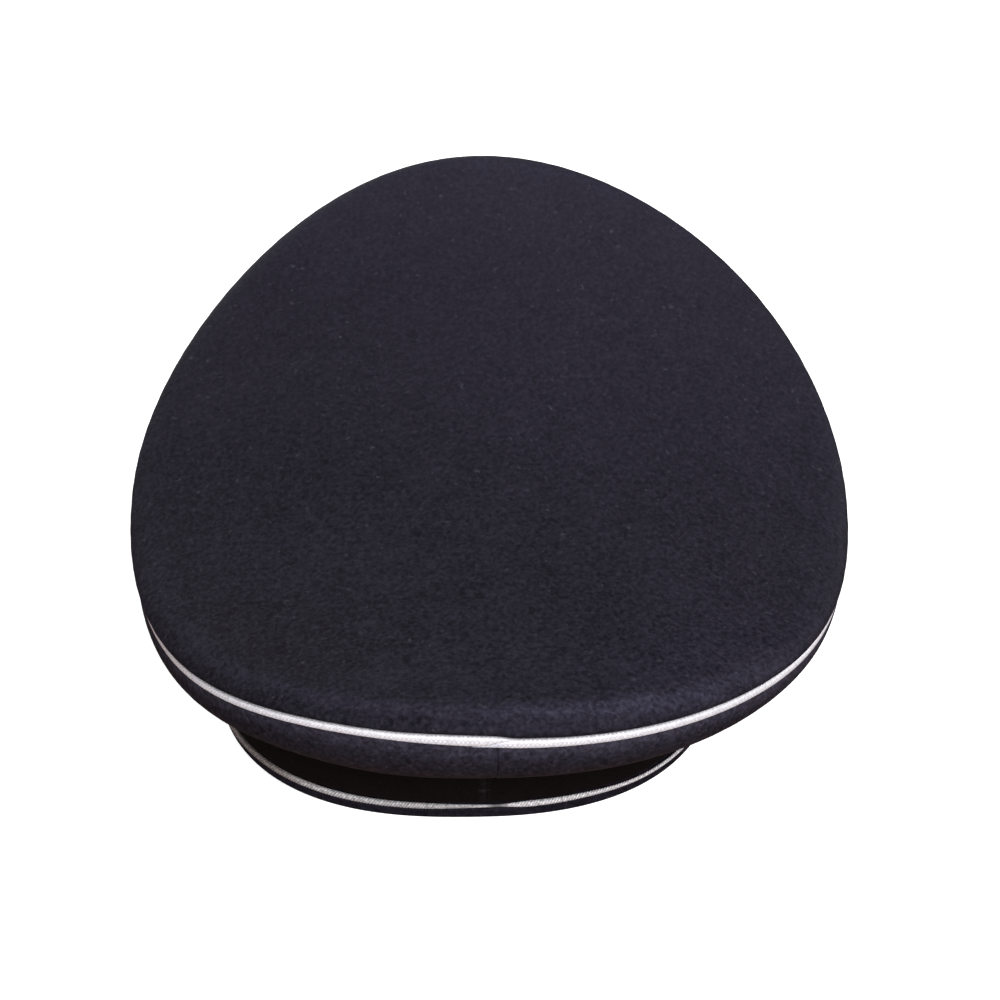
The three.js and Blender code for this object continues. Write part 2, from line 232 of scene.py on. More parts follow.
class CapStage(PropertyGroup):
    """Camera, lights and floor. The view is measured from the upright cap."""

    view_rise: angle("Rise", "How far the view looks down on the upright cap", 38.400)
    view_turn: angle("Turn", "How far the view is turned from behind the cap", -1.4915)
    view_roll: angle("Roll", "How far the view is rolled", 1.3568)
    view_distance: length("Distance", "From the camera to the point it goes round", 0.86734)
    view_height: length("Height", "Height of that point over the band's foot", 0.060)
    aim_right: length("Aim right", "How far right of that point the view aims", 0.01248)
    aim_up: length("Aim up", "How far above that point the view aims", 0.00713)
    lens: FloatProperty(name="Lens", description="Focal length on a 36 mm frame, in millimetres",
                        default=87.64, subtype="DISTANCE_CAMERA")
    floor_size: length("Floor", "Width of the floor", 12.0)
    floor: colour("Floor colour", "The pale floor", (0.92, 0.92, 0.92))
    floor_bounce: colour("Floor bounce", "What it throws back on the cap", (0.22, 0.16, 0.15))
    floor_glow: number("Floor glow", "Strength of the floor's own light", 0.74)
    sky: colour("Sky colour", "Soft light from all round", (1.0, 0.99, 1.0))
    sky_strength: number("Sky strength", "Strength of the light from all round", 0.218)
    key_power: power("Key power", "Power of the soft light beside the view", 145.0)
    side_power: power("Side fill power", "Power of the fill at the left", 31.0)
    edge_power: power("Edge light power", "Power of the low light at the right", 13.0)
    fill_power: power("Fill power", "Power of the low soft light at the front", 22.0)


# Curves and stations

def squared(value, squareness):
    """A sine or cosine raised to 2/n, which fills a circle out to a squarer oval."""
    return np.sign(value) * np.abs(value) ** (2.0 / squareness)


def oval_plan(oval, turn):
    """An oval: half width times sine to 2/n, and its back or front half times cosine to 2/n."""
    is_back = np.cos(turn) > 0
    squareness = np.where(is_back, oval.squareness, oval.front_squareness)
    half = np.where(is_back, oval.back_half, oval.front_half)
    across = squared(np.sin(turn), squareness) * (1 + oval.broadening * np.cos(turn))
    along = squared(np.cos(turn), squareness)
    return np.stack([oval.centre_x + oval.half_width * across, oval.centre_y + half * along], -1)


def oval_out(oval, turn, step=0.02):
    """Outward direction in plan: the chord between two near turns, turned by a right angle."""
    chord = oval_plan(oval, turn + step) - oval_plan(oval, turn - step)
    chord /= np.linalg.norm(chord, axis=-1, keepdims=True)
    return np.stack([-chord[..., 1], chord[..., 0]], -1)


def turn_at_side(oval, distance):
    """The turn where an oval's back lies a distance beside its middle: arcsine of share to n/2."""
    share = abs(distance) / oval.half_width
    return float(np.sign(distance) * np.arcsin(share ** (oval.squareness / 2)))


def stretch(oval, start, stop, fine=8000):
    """Close turns along an oval and the way travelled at each, by its summed chords."""
    turn = np.linspace(start, stop, fine)
    chords = np.linalg.norm(np.diff(oval_plan(oval, turn), axis=0), axis=1)
    return turn, np.concatenate([[0.0], np.cumsum(chords)])


def even_turns(oval, start, stop, count):
    """Turns that part an oval into steps of one length, with the way travelled at each."""
    turn, travel = stretch(oval, start, stop)
    places = np.linspace(0, travel[-1], count)
    return np.interp(places, travel, turn), places


def seam_turns(oval, start, stop, count, fine, end_rows=10):
    """Turns in even steps, but closer over the last few millimetres before both ends."""
    turn, travel = stretch(oval, start, stop)
    ends = 2 * fine * (1 - np.cos(np.linspace(0, np.pi / 2, end_rows)))
    middle = np.linspace(ends[-1], travel[-1] - ends[-1], count)
    places = np.concatenate([ends[:-1], middle, travel[-1] - ends[-2::-1]])
    return np.interp(places, travel, turn), places


def cubic(controls, share):
    """A cubic curve: four controls weighted by the terms of (1 - s) + s raised to three."""
    s = share[None, :, None]
    first, second, third, last = (control[:, None, :] for control in controls)
    rest = 1 - s
    return rest**3 * first + 3 * rest**2 * s * second + 3 * rest * s**2 * third + s**3 * last


def smooth(value, low, high):
    """An even passage from 0 to 1: three times the square less twice the cube of the share."""
    share = np.clip((value - low) / (high - low), 0, 1)
    return share**2 * (3 - 2 * share)


def passages(value, *rows):
    """A sum of even passages, each with its amount, where it begins and where it is whole."""
    return sum(amount * smooth(value, begin, whole) for amount, begin, whole in rows)


def bell(value, middle, width):
    """A bell about a middle: e to the minus square of the distance from it in widths."""
    return np.exp(-((value - middle) / width) ** 2)


def from_ends(place):
    """The way from each place to the nearer end."""
    return np.minimum(place, place[-1] - place)


def pairs(first, second):
    """Two arrays, or an array and a number, as points of a section."""
    return np.stack(np.broadcast_arrays(first, second), -1).astype(float)


def placed(point, out, height, section):
    """A section's points in space: out from each station's point, and up from its height."""
    plan = point[:, None, :] + section[..., :1] * out[:, None, :]
    return np.concatenate([plan, (height[:, None] + section[..., 1])[..., None]], -1)


def ripple(place, usual, seed):
    """An uneven wave along a seam: three sines of unlike length and chance phase."""
    phase = np.random.default_rng(seed).uniform(0, WHOLE_TURN, 3)
    lengths = usual * np.array([1.0, 1.618, 0.731])
    weights = np.array([0.5, 0.3, 0.2])
    return (weights * np.sin(WHOLE_TURN * place[..., None] / lengths + phase)).sum(-1)


def facing(grid, is_ring):
    """Unit normals of a grid: its step across times its step along, as a cross product."""
    if is_ring:
        along = np.roll(grid, -1, 0) - np.roll(grid, 1, 0)
    else:
        along = np.gradient(grid, axis=0)
    normal = np.cross(np.gradient(grid, axis=1), along)
    return normal / np.maximum(np.linalg.norm(normal, axis=-1, keepdims=True), 1e-12)


def turned_in(place, width, depth):
    """How deep a cloth's end turns in: a quarter round over a width before both ends."""
    share = np.clip(1 - from_ends(place) / width, 0, 1)
    return depth * (1 - np.sqrt(1 - share**2))


# The cap's surfaces

def frontward(crown, points):
    """Share of the crown's length at points, from 0 at its back to 1 at its front."""
    whole = crown.back_half + crown.front_half
    return (crown.centre_y + crown.back_half - points[..., 1]) / whole


def rightward(crown, points):
    """Share of the crown's width at points, from 0 at its left to 1 at its right."""
    return 0.5 - (points[..., 0] - crown.centre_x) / (2 * crown.half_width)


def rim_height(crown, plan):
    """Height of the rim: a square law about its lowest place, up to its front, and a side slope."""
    climb = (crown.front_height - crown.low_height) / (1 - crown.low_share) ** 2
    return (crown.low_height + climb * (frontward(crown, plan) - crown.low_share) ** 2
            + crown.sideways * plan[..., 0])


def cord_points(crown, turn):
    """The middle of the rim's cord: its oval in plan, its height, and a cosine wave on that."""
    plan = oval_plan(crown, turn)
    wave = crown.wave * np.cos(crown.wave_count * (turn - crown.wave_turn))
    return in_space(plan, rim_height(crown, plan) + wave)


def rim_stations(crown, turn, step=0.02):
    """The rim's points, outward directions, heights, and how steep its cord is there."""
    middle = cord_points(crown, turn)
    way = cord_points(crown, turn + step) - cord_points(crown, turn - step)
    climb = way[..., 2] / np.linalg.norm(way[..., :2], axis=-1)
    return SimpleNamespace(point=middle[..., :2], out=oval_out(crown, turn),
                           steep=np.hypot(1, climb), height=middle[..., 2])


def top_height(crown, plan):
    """Height of the taut top: the rim's height there and a rise, with a dome of 1 - x2 - y2."""
    x, y = plan[..., 0], plan[..., 1]
    half = np.where(y > crown.centre_y, crown.back_half, crown.front_half) - crown.inset
    across = (x - crown.centre_x) / (crown.half_width - crown.inset)
    along = (y - crown.centre_y) / half
    return rim_height(crown, plan) + crown.rise + crown.dome * (1 - across**2 - along**2)


def lap_lift(crown, cords, place):
    """How far the cord's lap lifts its upper edge: an even step at the lap that fades to the left.

    The way from the lap's middle counts in half laps.
    """
    round_rim = stretch(crown, 0, WHOLE_TURN)[1][-1]
    beside = (place - cords.lap_middle + round_rim / 2) % round_rim - round_rim / 2
    laps = beside / cords.lap
    return cords.lap_rise * cords.rim_radius * smooth(laps, -0.8, 0.1) * (1 - smooth(laps, 1, 5))


def slow_waves(plan):
    """Slow waves of taut cloth in plan: three crossed sines between 60 and 110 mm long."""
    x, y = plan[..., 0], plan[..., 1]
    return sum(np.sin(WHOLE_TURN * (x / across + y / along) + phase)
               for across, along, phase in SLOW_WAVES) / len(SLOW_WAVES)


def top_surface(crown, cords, turn, place, rings=46):
    """The top's outer face, from its tuck over the cord up the roll and in to the middle.

    The tuck follows a circle round the cord, the roll is a cubic curve drawn out past the cord,
    and the taut top is drawn in straight lines in plan to the middle of the saddle.
    """
    station = rim_stations(crown, turn)
    hug = cords.rim_radius + crown.clear
    lift = lap_lift(crown, cords, place)
    tuck_turn = np.radians(TUCK_TURNS)[None, :]
    tuck = hug * pairs(np.cos(tuck_turn), np.sin(tuck_turn) * station.steep[:, None])
    tuck[..., 1] += lift[:, None]

    def height_at(out):
        return top_height(crown, station.point + out * station.out) - station.height

    near = 0.0005
    end = pairs(-crown.inset, height_at(-crown.inset))
    climb = (height_at(near - crown.inset) - height_at(-near - crown.inset)) / (2 * near)
    edge_turn = np.radians(100.0)
    edge = pairs(hug * np.cos(edge_turn), hug * np.sin(edge_turn) * station.steep + lift)
    swell = pairs(crown.swell, crown.swell_height + lift)
    lead = pairs(crown.reach - crown.inset, end[:, 1] + crown.reach * climb)
    share = np.linspace(0, 1, ROLL_ROWS)
    roll = cubic([edge, swell, lead, end], share)
    gather = crown.pucker * np.sin(np.pi * share) ** 2 * (1 - share)
    roll[..., 0] += 2 * gather[None, :] * ripple(place, crown.pucker_length, 3)[:, None]
    rolled = placed(station.point, station.out, station.height, np.concatenate([tuck, roll], 1))

    inward = np.linspace(0, 1, rings + 1)[1:-1][None, :, None]
    start = station.point - crown.inset * station.out
    middle = np.array([crown.centre_x, crown.centre_y])
    plan = start[:, None, :] * (1 - inward) + middle * inward
    fade = smooth(inward[..., 0], 0, 0.25)
    level = top_height(crown, plan) + crown.waver * fade * slow_waves(plan)
    return np.concatenate([rolled, np.concatenate([plan, level[..., None]], -1)], 1)


def side_surface(crown, cords, band, turn, place, rows=52):
    """A side panel's outer face, from its seat on the band up to the cord.

    Where the rim is low it hangs in a slack cubic curve that runs level on to the band, where the
    rim is high it is drawn straight, and between the two its controls pass evenly over. Just left
    of the back seam it sags by a bell.
    """
    station = rim_stations(crown, turn)
    seat = oval_plan(band, turn) - band.velvet / 2 * oval_out(band, turn)
    away = station.point - seat
    span = np.linalg.norm(away, axis=-1)
    away /= span[:, None]
    fall = station.height - band.top
    taut = smooth(fall, crown.slack_below, crown.taut_above)[:, None]
    hug = cords.rim_radius + crown.clear
    edge_turn = np.radians(-58.0)
    start = pairs(hug * np.cos(edge_turn), hug * np.sin(edge_turn) * station.steep)
    end = pairs(-span, crown.clear - fall)
    sag = crown.sag * bell(station.point[..., 0], crown.sag_place, crown.sag_width)
    slack_first = pairs(crown.belly, -crown.depth - crown.deepening * fall - sag)
    slack_last = end + np.array([crown.under, 0])
    bow = np.array([crown.bow, 0])
    first = slack_first * (1 - taut) + (start + (end - start) / 3 + bow) * taut
    last = slack_last * (1 - taut) + (start + (end - start) * 2 / 3 + bow) * taut
    share = np.linspace(1, 0, rows)
    section = cubic([start, first, last, end], share)
    free = np.sin(np.pi * share)[None, :] ** 2
    section[..., 0] += crown.waver * 0.5 * free * ripple(place, crown.waver_length, 5)[:, None]
    gather = crown.pucker * free * (1 - share) ** 2
    section[..., 0] += 1.5 * gather * ripple(place, crown.pucker_length, 7)[:, None]
    return placed(station.point, away, station.height, section)


def peak_stations(band, peak, side):
    """The peak's roots, directions, reaches and slopes at shares from its right end to its left.

    The reach follows a fuller circle of the share, and the ends lean towards the front.
    """
    turn = np.pi + side * peak.half_turn
    full = np.maximum(1 - np.abs(side) ** peak.fullness, 0) ** (1 / peak.fullness)
    square = oval_out(band, turn)
    lean = (peak.forward * side**2)[:, None]
    out = square * (1 - lean) + np.array([0, -1.0]) * lean
    return SimpleNamespace(
        root=oval_plan(band, turn) + peak.gap * square,
        out=out / np.linalg.norm(out, axis=-1, keepdims=True),
        reach=peak.end_reach + (peak.reach - peak.end_reach) * full,
        slope=peak.slope + (peak.end_slope - peak.slope) * side**2,
        full=full,
        height=np.full(len(side), peak.top),
    )


def peak_face(peak, station, share):
    """Section of the peak's upper face: a straight slope with a low parabola on it."""
    run = (station.reach * np.cos(station.slope))[:, None] * share
    fall = (station.reach * np.sin(station.slope))[:, None] * share
    return pairs(run, 4 * peak.camber * share * (1 - share) * station.full[:, None] - fall)


def peak_drop(peak, station):
    """From the peak's upper face straight down to its underside."""
    return pairs(0.0, -peak.thickness / np.cos(station.slope))[:, None, :]


def bend(before, corner, after, steps=7):
    """A square curve that leaves one point and meets another, both times towards a corner."""
    s = np.linspace(0, 1, steps)[:, None]
    before, corner, after = (p[..., None, :] for p in (before, corner, after))
    return (1 - s) ** 2 * before + 2 * s * (1 - s) * corner + s**2 * after


def peak_loops(band, peak, side, rows=18):
    """The peak's closed sections: out along its underside, round its edge and back on its top."""
    station = peak_stations(band, peak, side)
    drop = peak_drop(peak, station)
    stop = 1 - peak.edge_round / station.reach
    top = peak_face(peak, station, np.linspace(0, 1, rows)[None, :] * stop[:, None])
    corner = peak_face(peak, station, np.ones((len(side), 1)))
    upright = np.array([0, peak.edge_round])
    low_edge = bend(top[:, -1] + drop[:, 0], (corner + drop)[:, 0], (corner + drop)[:, 0] + upright)
    high_edge = bend(corner[:, 0] - upright, corner[:, 0], top[:, -1])
    section = np.concatenate([top[:, :-1] + drop, low_edge, high_edge, top[:, -2::-1]], 1)
    return placed(station.root, station.out, station.height, section)


def rounded_loop(corners, steps=6):
    """A closed section from rows of out, up and radius, with a square curve at each corner."""
    corners = np.array(corners)
    point, radius = corners[:, :2], corners[:, 2:]
    back = np.roll(point, 1, 0) - point
    on = np.roll(point, -1, 0) - point
    before = point + radius * back / np.linalg.norm(back, axis=1, keepdims=True)
    after = point + radius * on / np.linalg.norm(on, axis=1, keepdims=True)
    return bend(before, point, after, steps).reshape(-1, 2)


def tube_loops(centre, out, across, upright, sides, fill=2.0):
    """Closed loops round a path: half widths times cosine and sine, both raised to 2/n."""
    way = np.gradient(centre, axis=0)
    way /= np.linalg.norm(way, axis=-1, keepdims=True)
    up = np.cross(way, out)
    up /= np.linalg.norm(up, axis=-1, keepdims=True)
    side = np.linspace(0, WHOLE_TURN, sides, endpoint=False)
    return (centre[:, None, :] + (across * squared(np.cos(side), fill))[..., None] * out[:, None, :]
            + (upright * squared(np.sin(side), fill))[..., None] * up[:, None, :])


def in_space(plan, height):
    """Plan directions or points with a height."""
    return np.concatenate([plan, np.broadcast_to(height, plan.shape[:-1])[..., None]], -1)


def rim_cord_loops(crown, cords, count=2300, sides=24, least=0.03):
    """The rim's cord, whose ends pass each other at the back along one slanting line.

    The left end keeps what lies above the line, the right end what lies below it, and both thin
    out to their tips, down to a least share of the radius. The left end's upper edge is lifted over
    the lap, and the right end's underside sags beside it.
    """
    radius, lap = cords.rim_radius, 2 * cords.lap
    middle = turn_at_side(crown, cords.lap_middle)
    past = cords.lap / crown.half_width
    turn, place = even_turns(crown, middle - past, middle + WHOLE_TURN + past, count)
    is_left = place < place[-1] / 2
    from_tip = from_ends(place) / lap
    line = 0.96 * radius * (1 - 2 * smooth(from_tip, 0, 1))
    lift = np.where(is_left, lap_lift(crown, cords, place + cords.lap_middle - cords.lap), 0)
    sag = np.where(is_left, 0, cords.lap_sag * radius * (1 - smooth(from_tip, 1, 3)))
    low = np.where(is_left & (from_tip < 1), line, -radius - sag)
    high = np.where(is_left, radius + lift, np.where(from_tip < 1, -line, radius))
    upright = np.maximum((high - low - cords.lap_gap) / 2, least * radius)
    blunt = np.sqrt(1 - np.clip(1 - 8 * from_tip, 0, 1) ** 2)
    across = radius * np.maximum((0.55 + 0.45 * np.minimum(upright / radius, 1)) * blunt, least)
    station = rim_stations(crown, turn)
    centre = in_space(station.point, station.height + (high + low) / 2)
    loops = tube_loops(centre, in_space(station.out, 0.0), across[:, None], upright[:, None], sides,
                       cords.rim_fill)
    return loops, place


def foot_line(band, cords, turn):
    """The foot cord's lift over its usual height, and its radius, at turns of the band.

    It sinks at the right and a little at the left, and is thinner at the right.
    """
    across = oval_plan(band, turn)[..., 0]
    at_right = smooth(-across, 0.036, 0.065)
    at_left = 0.45 * smooth(across, 0.050, 0.085)
    thin = smooth(-across, 0.022, 0.065)
    radius = cords.foot_radius + (cords.side_radius - cords.foot_radius) * thin
    return -cords.sink * (at_right + at_left), radius


def foot_cord_loops(band, cords, count=3600, sides=18, plies=3):
    """The foot's cord: a tube with a wave round it that turns along it, thinned to its ends."""
    join = turn_at_side(band, cords.join)
    half_gap = cords.join_open / 2 / band.half_width
    turn, place = even_turns(band, join + half_gap, join + WHOLE_TURN - half_gap, count)
    full = smooth(place, 0, cords.left_taper) * smooth(place[-1] - place, 0, cords.right_taper)
    lift, whole = foot_line(band, cords, turn)
    radius = cords.tip_radius + (whole - cords.tip_radius) * full
    side = np.linspace(0, WHOLE_TURN, sides, endpoint=False)
    twist = np.cos(plies * (side[None, :] + WHOLE_TURN * place[:, None] / cords.ply_pitch))
    thick = radius[:, None] - cords.ply_relief * full[:, None] * (0.5 + 0.5 * twist)
    out = oval_out(band, turn)
    past = cords.foot_out - 0.45 * lift
    centre = in_space(oval_plan(band, turn) + past[:, None] * out, cords.foot_height + lift)
    return tube_loops(centre, in_space(out, 0.0), thick, thick, sides), place


def velvet_bottom(band, cords):
    """Height of the velvet's lower edge, just above the foot's cord."""
    return cords.foot_height + cords.foot_radius + band.gap


def velvet_loops(band, cords, count=420, rows=48, fold=0.001):
    """The velvet strip: a closed section with softened corners, turned in at both its ends."""
    bottom = velvet_bottom(band, cords)
    pile = band.velvet * 0.4
    small = 0.0002
    section = rounded_loop([(-band.velvet, bottom, small), (0, bottom, pile),
                            (0, band.top, pile), (-band.velvet, band.top, small)])
    half = len(section) // 2
    face = np.linspace(section[half - 1], section[half], rows)[1:-1]
    section = np.concatenate([section[:half], face, section[half:]])
    join = turn_at_side(band, band.seam)
    half_gap = band.seam_open / 2 / band.half_width
    turn, place = seam_turns(band, join + half_gap, join + WHOLE_TURN - half_gap, count, fold)
    deep = turned_in(place, fold, band.velvet * 0.25)
    sections = np.repeat(section[None], len(turn), 0)
    sections[..., 0] -= deep[:, None] * (section[:, 0] > -band.velvet / 2)
    lift, _ = foot_line(band, cords, turn)
    sections[..., 1] += lift[:, None] * (band.top - section[:, 1]) / (band.top - bottom)
    return placed(oval_plan(band, turn), oval_out(band, turn), np.zeros(len(turn)), sections), place


def wall_loops(band, cords, slope, count=480):
    """The band's wall with the foot below its cord, pressed flat where its heel meets the table."""
    outer = -band.velvet - band.gap
    inner = outer - band.wall
    foot_top = cords.foot_height - cords.foot_radius - band.gap
    small = 0.0003
    section = rounded_loop([
        (inner, 0, band.foot_round * 0.8),
        (band.foot_out, 0, band.foot_round),
        (band.foot_out, foot_top, band.foot_round * 0.7),
        (outer, foot_top, small),
        (outer, band.top, small),
        (inner, band.top, small),
    ])
    turn = even_turns(band, 0, WHOLE_TURN, count + 1)[0][:-1]
    sections = np.repeat(section[None], count, 0)
    tall = section[:, 1]
    follow = np.where(tall < foot_top, tall / foot_top, (band.top - tall) / (band.top - foot_top))
    sections[..., 1] += foot_line(band, cords, turn)[0][:, None] * follow
    loops = placed(oval_plan(band, turn), oval_out(band, turn), np.zeros(count), sections)
    table = band.heel_press + slope * (loops[..., 1] - band.back_half)
    loops[..., 2] = np.maximum(loops[..., 2], table)
    return loops


# Wear and painted light

def toned(wear_and_painted_light, tint):
    """A change of brightness with a tint, as shares to add to each part of a colour."""
    return (1 + wear_and_painted_light)[..., None] * tint - 1


def top_painted_light(crown, outer, ring_share=0.08):
    """Painted light on the top: paler to the front, with a painted highlight on the roll's shoulder
    at the back, and painted shade on the roll next to the cord.

    The highlight is low at the left, and at the right it sinks to the cord. It dies away at the
    sides.
    The back is paler from its middle to its right, and so is the far edge, and the left is darker.
    Painted highlights are bluer and painted shade browner. All places are shares: up the roll and
    on over the rings, to the right, and ahead.
    """
    flat = outer.shape[1] - ROLL_ROWS - len(TUCK_TURNS)
    up = np.concatenate([np.zeros(len(TUCK_TURNS)), np.linspace(0, 1, ROLL_ROWS),
                         1 + ring_share * np.arange(1, flat + 1)])
    right, ahead = rightward(crown, outer), frontward(crown, outer)
    high = 0.76 - 0.20 * smooth(right, 0.58, 0.90)
    broad = 0.15 + 0.05 * smooth(right, 0.5, 0.85)
    pale = 0.18 + passages(right, (0.18, 0.10, 0.22), (0.52, 0.25, 0.66))
    pale = pale * (1 - 0.80 * smooth(right, 0.66, 0.92))
    low = -0.28 + passages(right, (0.26, 0.15, 0.5), (-0.30, 0.62, 0.85))
    # Painted highlight on the roll's shoulder, and painted shade on the roll next to the cord
    roll = pale * bell(up, high, broad) + low * (1 - smooth(up, 0.05, 0.6))
    back = 0.14 * smooth(right, 0.15, 0.45) * (1 - smooth(ahead, 0.09, 0.26))
    beside = 0.24 * smooth(right, 0.58, 0.84) * (1 - smooth(ahead, 0.12, 0.42))
    far = 0.14 * smooth(ahead, 0.78, 0.98)
    left = -0.11 * smooth(ahead, 0.3, 0.5) * (1 - smooth(right, 0.3, 0.55))
    wear_and_painted_light = (roll * (1 - 0.8 * smooth(ahead, 0.12, 0.35)) + 0.46 * (ahead - 0.46)
            + back + beside + far + left)
    # Painted highlights are made bluer, and painted shade browner
    return toned(wear_and_painted_light, 1) + wear_and_painted_light[..., None] * np.array([0, 0, 0.2])


def side_painted_light(crown, outer, place):
    """Painted light on the side: a painted highlight under the cord, then browner painted shade
    towards the band, and painted shade along the seams.

    A painted highlight lies where it turns under, and the painted shade is deepest at the left.
    """
    down = np.linspace(1, 0, outer.shape[1])
    wear_and_painted_light = 0.95 + passages(down, (-0.95, 0, 0.10), (-0.12, 0.05, 0.13), (0.45, 0.16, 0.28),
                           (-0.55, 0.24, 0.38))
    across = -0.30 + passages(rightward(crown, outer), (0.22, 0.02, 0.14), (0.28, 0.15, 0.50),
                              (0.14, 0.60, 0.75))
    # Painted shade turns browner towards the band
    tint = 1 - smooth(down, 0.05, 0.3)[:, None] * np.array([0, 0.22, 0.38])
    # Painted shade in the turned-in edges at the seams
    seam = 0.20 * bell(from_ends(place), 0, 0.0009)
    return toned(wear_and_painted_light[None, :] + across - seam[:, None], tint)


def rim_cord_painted_shade(cords, loops, place):
    """Painted shade on the rim's cord: under the lap on its right end, and warmer at the far left.
    """
    under = 1 - smooth((place[-1] - place) / cords.lap, 1.0, 1.9)
    left = smooth(loops[..., 0].mean(1), 0.082, 0.104)
    return -(under[:, None] * np.array([0.22, 0.18, 0.13])
             + left[:, None] * np.array([0.14, 0.22, 0.25]))


def foot_cord_painted_shade(cords, loops, place):
    """Painted shade on the foot's cord: at its ends, left of its join, and deepest, browner, far
    left.
    """
    across = loops[..., 0].mean(1)
    ends = 1 - smooth(place, 0.0003, 0.005) * smooth(place[-1] - place, 0.0003, 0.006)
    left = smooth(across, 0.046, 0.072)
    join = cords.join
    dull = (0.06 + passages(across, (0.32, join, join + 0.012), (-0.08, 0.025, 0.045))
            + 0.10 * bell(across, -0.003, 0.008) + 0.46 * left + 0.70 * ends)
    return toned(-dull, 1 - left[:, None] * np.array([-0.06, 0.08, 0.14]))


def seam_fray(loops, place):
    """Pale pile along the velvet's seam: a bell beside each end, broken into tufts by two sines."""
    beside = bell(place, 0.0012, 0.0011) + 0.6 * bell(place[-1] - place, 0, 0.0008)
    up = WHOLE_TURN * loops[0, :, 2]
    tufts = np.maximum(np.sin(up / 0.0031 + 1.0) + 0.8 * np.sin(up / 0.0053), 0) ** 2
    return (beside[:, None] * (0.5 + 1.3 * tufts))[..., None] * np.array([1.0, 1.5, 1.6])


# How the cap rests

def table_slope(band, peak):
    """Slope of the table under the upright cap: from its pressed heel to its peak's low edge."""
    side = np.linspace(-1, 1, 27)
    station = peak_stations(band, peak, side)
    edge = peak_face(peak, station, np.ones((len(side), 1))) + peak_drop(peak, station)
    low = placed(station.root, station.out, station.height, edge)[:, 0]
    return float(((band.heel_press - low[:, 2]) / (band.back_half - low[:, 1])).max())


def rest_frame():
    """The turn and the shift that lay the upright cap on the table, over the frame's own band."""
    scene = bpy.context.scene
    band, cords = scene.cap_band, scene.cap_cords
    tilt = np.arctan(table_slope(band, scene.cap_peak))
    turn = np.array(Matrix.Rotation(-tilt, 3, "X"))
    low, high = (np.array(corner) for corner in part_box("band"))
    plan = oval_plan(band, np.linspace(0, WHOLE_TURN, 721))
    edges = [in_space(plan, height) for height in (velvet_bottom(band, cords), band.top)]
    own = np.concatenate(edges) @ turn.T
    shift = (low + high - own.min(0) - own.max(0)) / 2
    shift[2] = band.back_half * np.sin(tilt) - band.heel_press * np.cos(tilt)
    return turn, shift


def at_rest(points):
    """Points of the upright cap where it rests."""
    turn, shift = rest_frame()
    return points @ turn.T + shift


# Meshes

def skin(name, loops, is_ring, along=None, around=None, poles=None, pole_at=None):
    """A mesh over rows of closed loops, with its ends joined, capped, or closed at two poles."""
    count, size = loops.shape[:2]
    columns = np.arange(size)
    if poles is not None:
        columns = np.delete(columns, pole_at - 1)
    row, column = np.meshgrid(np.arange(count if is_ring else count - 1), columns, indexing="ij")
    rows = np.stack([row, row, row + 1, row + 1], -1).reshape(-1, 4)
    columns = np.stack([column, column + 1, column + 1, column], -1).reshape(-1, 4)
    if not is_ring:
        near = np.arange(size // 2 - 1)
        far = size - 1 - near
        first = np.zeros((len(near), 4), int)
        rows = np.concatenate([rows, first + count - 1, first])
        columns = np.concatenate([columns, np.stack([near, near + 1, far - 1, far], -1),
                                  np.stack([near, far, far - 1, near + 1], -1)])
    points = loops.reshape(-1, 3)
    fans = np.zeros((0, 3), int)
    if poles is not None:
        here = np.arange(count) * size + pole_at
        after = np.roll(here, -1)
        pole = np.full(count, len(points))
        fans = np.concatenate([np.stack([here - 1, pole, after - 1], -1),
                               np.stack([here, after, pole + 1], -1)])
        points = np.concatenate([points, poles])
    quads = rows % count * size + columns % size
    mesh = bpy.data.meshes.new(name)
    mesh.vertices.add(len(points))
    mesh.vertices.foreach_set("co", at_rest(points).astype(np.float32).ravel())
    corners = np.concatenate([quads.ravel(), fans.ravel()])
    mesh.loops.add(len(corners))
    mesh.loops.foreach_set("vertex_index", corners.astype(np.int32))
    starts = np.concatenate([np.arange(len(quads)) * 4, 4 * len(quads) + np.arange(len(fans)) * 3])
    mesh.polygons.add(len(starts))
    mesh.polygons.foreach_set("loop_start", starts.astype(np.int32))
    if along is not None:
        layer = mesh.uv_layers.new(name="run")
        uv = np.stack([along[rows.ravel()], around[columns.ravel()]], -1)
        layer.uv.foreach_set("vector", uv.astype(np.float32).ravel())
    mesh.update(calc_edges=True)
    mesh.validate()
    mesh.shade_smooth()
    mesh.set_sharp_from_angle(angle=np.radians(50))
    return mesh


def mark_wear_and_painted_light(mesh, wear_and_painted_light, loops):
    """Stores painted light, and on the velvet its fray, on the outer columns of a mesh's sections.
    """
    marked = np.zeros(loops.shape)
    marked[:, :wear_and_painted_light.shape[1]] = wear_and_painted_light
    values = np.zeros((len(mesh.vertices), 3), np.float32)
    values[:marked.size // 3] = marked.reshape(-1, 3)
    mesh.attributes.new("wear_and_painted_light", "FLOAT_VECTOR", "POINT").data.foreach_set("vector", values.ravel())


def finished(mesh, node, material):
    """Puts a mesh in the scene as the piece that stands for a node."""
    piece = bpy.data.objects.new(mesh.name, mesh)
    bpy.context.scene.collection.objects.link(piece)
    mesh.materials.append(material)
    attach(piece, "root")
    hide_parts(node)
    return piece


# Materials

def put(tree, kind, inputs, **settings):
    """Adds a node with its settings, and gives each named input a value or a link."""
    made = tree.nodes.new(kind)
    for name, value in settings.items():
        setattr(made, name, value)
    for key, value in inputs.items():
        if isinstance(value, bpy.types.NodeSocket):
            tree.links.new(value, made.inputs[key])
        else:
            made.inputs[key].default_value = value
    return made


def sum_of(tree, operation, first, second=0.0, third=0.0):
    """The outcome of a Math node."""
    inputs = {0: first, 1: second, 2: third}
    return put(tree, "ShaderNodeMath", inputs, operation=operation).outputs[0]


def blend(tree, share, first, second):
    """A colour between two."""
    return put(tree, "ShaderNodeMix", {0: share, 6: first, 7: second}, data_type="RGBA").outputs[2]


